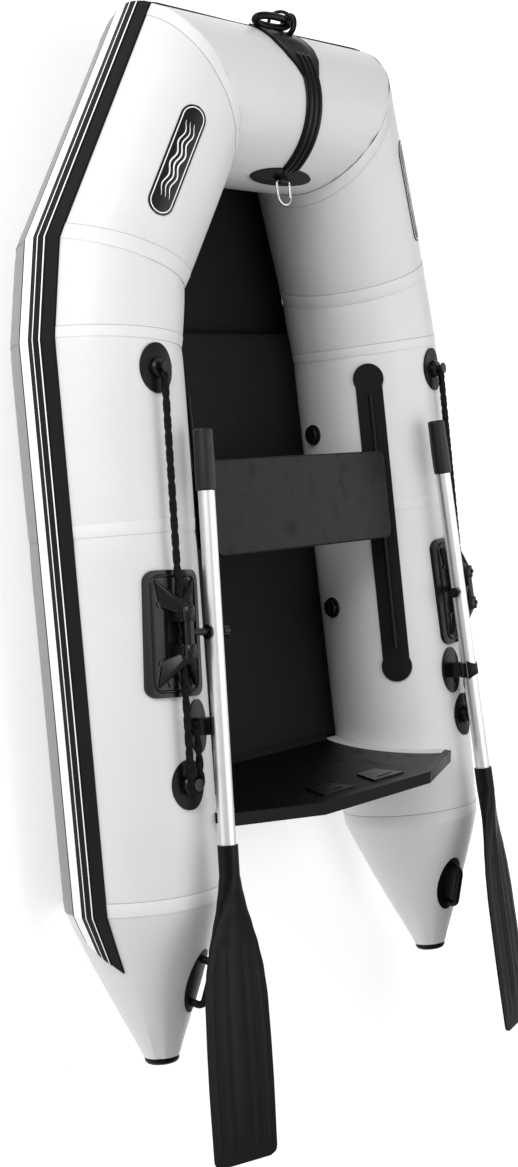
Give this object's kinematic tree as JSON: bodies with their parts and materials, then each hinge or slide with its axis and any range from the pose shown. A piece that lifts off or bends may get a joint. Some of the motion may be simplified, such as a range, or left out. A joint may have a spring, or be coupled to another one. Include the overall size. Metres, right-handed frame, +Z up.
{
  "type": "inflatable dinghy",
  "caption": "Inflatable dinghy with air tubes, tail cones, transom, sliding seat and stowed oars in hinged rowlocks.",
  "frame": {"origin": "under the middle of the whole boat with its oars stowed, on the level surface that the tubes rest on", "axes": "+X to the bow, +Y to port, +Z up"},
  "size_m": [2.4258, 1.4132, 0.454],
  "materials": {
    "tube_fabric": "satin coated fabric",
    "belly_fabric": "satin coated fabric",
    "black_rubber": "satin",
    "deck_fabric": "matte",
    "black_board": "fine texture",
    "black_plastic": "moulded satin",
    "seat_board": "dark painted, semi-gloss",
    "aluminium": "brushed",
    "steel": "polished",
    "rope": "braided",
    "decal": "gloss",
    "flange_fabric": "satin coated fabric"
  },
  "bodies": {
    "hull": {"aft_side_tube_port": "tube_fabric", "fore_side_tube_port": "tube_fabric", "shoulder_tube_port": "tube_fabric", "bow_side_tube_port": "tube_fabric", "tail_cone_port": "tube_fabric", "rub_strake_port": "black_rubber", "rowlock_base_port": "black_plastic", "lifeline_port": "rope", "aft_side_tube_starboard": "tube_fabric", "fore_side_tube_starboard": "tube_fabric", "shoulder_tube_starboard": "tube_fabric", "bow_side_tube_starboard": "tube_fabric", "tail_cone_starboard": "tube_fabric", "rub_strake_starboard": "black_rubber", "rowlock_base_starboard": "black_plastic", "lifeline_starboard": "rope", "bow_tube": "tube_fabric", "tail_caps": "black_plastic", "chamber_baffles": "tube_fabric", "bottom_skin": "belly_fabric", "floor_deck": "deck_fabric", "transom_board": "black_board", "transom_trim": "black_rubber", "clamp_pads_inner": "black_plastic", "clamp_pad_outer": "black_board", "transom_flanges": "flange_fabric", "floor_fillet": "deck_fabric", "drain_socket": "black_plastic", "seat_rails": "black_rubber", "rail_end_discs": "black_rubber", "rowlock_hinge_pins": "steel", "oar_clips": "black_plastic", "rope_patches": "black_rubber", "rope_studs": "black_plastic", "bow_strip": "black_rubber", "bow_patch_outer": "black_rubber", "bow_handle": "black_rubber", "bow_patch_inner": "black_rubber", "valve_bodies": "black_plastic", "tail_handles": "black_plastic", "badges": "decal"},
    "seat": {"seat_board": "seat_board", "seat_hangers": "black_plastic"},
    "ring": {"tow_ring": "steel"},
    "plug": {"drain_plug": "black_plastic"},
    "swivel_port": {"rowlock_swivel_port": "black_plastic"},
    "knob_port": {"oar_knob_port": "black_plastic"},
    "oar_port": {"oar_upper_shaft_port": "aluminium", "oar_lower_shaft_port": "aluminium", "oar_grip_port": "black_rubber", "oar_blade_port": "black_plastic"},
    "swivel_starboard": {"rowlock_swivel_starboard": "black_plastic"},
    "knob_starboard": {"oar_knob_starboard": "black_plastic"},
    "oar_starboard": {"oar_upper_shaft_starboard": "aluminium", "oar_lower_shaft_starboard": "aluminium", "oar_grip_starboard": "black_rubber", "oar_blade_starboard": "black_plastic"},
    "cap_bow": {"valve_cap_bow": "black_plastic"},
    "cap_starboard": {"valve_cap_starboard": "black_plastic"},
    "cap_port": {"valve_cap_port": "black_plastic"}
  },
  "joints": [
    {"name": "seat_slide", "type": "slide", "parent": "hull", "child": "seat", "axis": [1, 0, 0], "range_m": [-0.26, 0.1]},
    {"name": "rowlock_swing_port", "type": "hinge", "parent": "hull", "child": "swivel_port", "pos_m": [-0.1218, 0.558, 0.386], "axis": [-0.9976, 0.0685, 0], "range_deg": [0, 100]},
    {"name": "oar_sweep_port", "type": "hinge", "parent": "swivel_port", "child": "oar_port", "pos_m": [-0.12652, 0.48933, 0.39876], "axis": [0.0674, 0.9809, -0.1822], "range_deg": [0, 45]},
    {"name": "knob_turn_port", "type": "hinge", "parent": "swivel_port", "child": "knob_port", "pos_m": [-0.1282, 0.46481, 0.40331], "axis": [-0.0674, -0.9809, 0.1822], "continuous": true},
    {"name": "rowlock_swing_starboard", "type": "hinge", "parent": "hull", "child": "swivel_starboard", "pos_m": [-0.1218, -0.558, 0.386], "axis": [0.9976, 0.0685, 0], "range_deg": [0, 100]},
    {"name": "oar_sweep_starboard", "type": "hinge", "parent": "swivel_starboard", "child": "oar_starboard", "pos_m": [-0.12652, -0.48933, 0.39876], "axis": [-0.0674, 0.9809, 0.1822], "range_deg": [0, 45]},
    {"name": "knob_turn_starboard", "type": "hinge", "parent": "swivel_starboard", "child": "knob_starboard", "pos_m": [-0.1282, -0.46481, 0.40331], "axis": [-0.0674, 0.9809, 0.1822], "continuous": true},
    {"name": "ring_swing", "type": "hinge", "parent": "hull", "child": "ring", "pos_m": [0.84446, 0, 0.34102], "axis": [0, 1, 0], "range_deg": [-60, 60]},
    {"name": "cap_turn_bow", "type": "hinge", "parent": "hull", "child": "cap_bow", "pos_m": [0.28907, -0.34318, 0.1154], "axis": [-0.0116, 0.9396, -0.342], "range_deg": [0, 90]},
    {"name": "cap_turn_starboard", "type": "hinge", "parent": "hull", "child": "cap_starboard", "pos_m": [-0.13788, -0.35438, 0.11242], "axis": [-0.0116, 0.9396, -0.342], "range_deg": [0, 90]},
    {"name": "cap_turn_port", "type": "hinge", "parent": "hull", "child": "cap_port", "pos_m": [-0.13788, 0.35438, 0.11242], "axis": [-0.0116, -0.9396, -0.342], "range_deg": [0, 90]},
    {"name": "plug_draw", "type": "slide", "parent": "hull", "child": "plug", "axis": [-0.9848, 0, -0.1736], "range_m": [0, 0.03]}
  ],
  "couplings": [
    {"joint": "oar_sweep_port", "follows": "rowlock_swing_port", "ratio": 0.45},
    {"joint": "oar_sweep_starboard", "follows": "rowlock_swing_starboard", "ratio": 0.45}
  ]
}
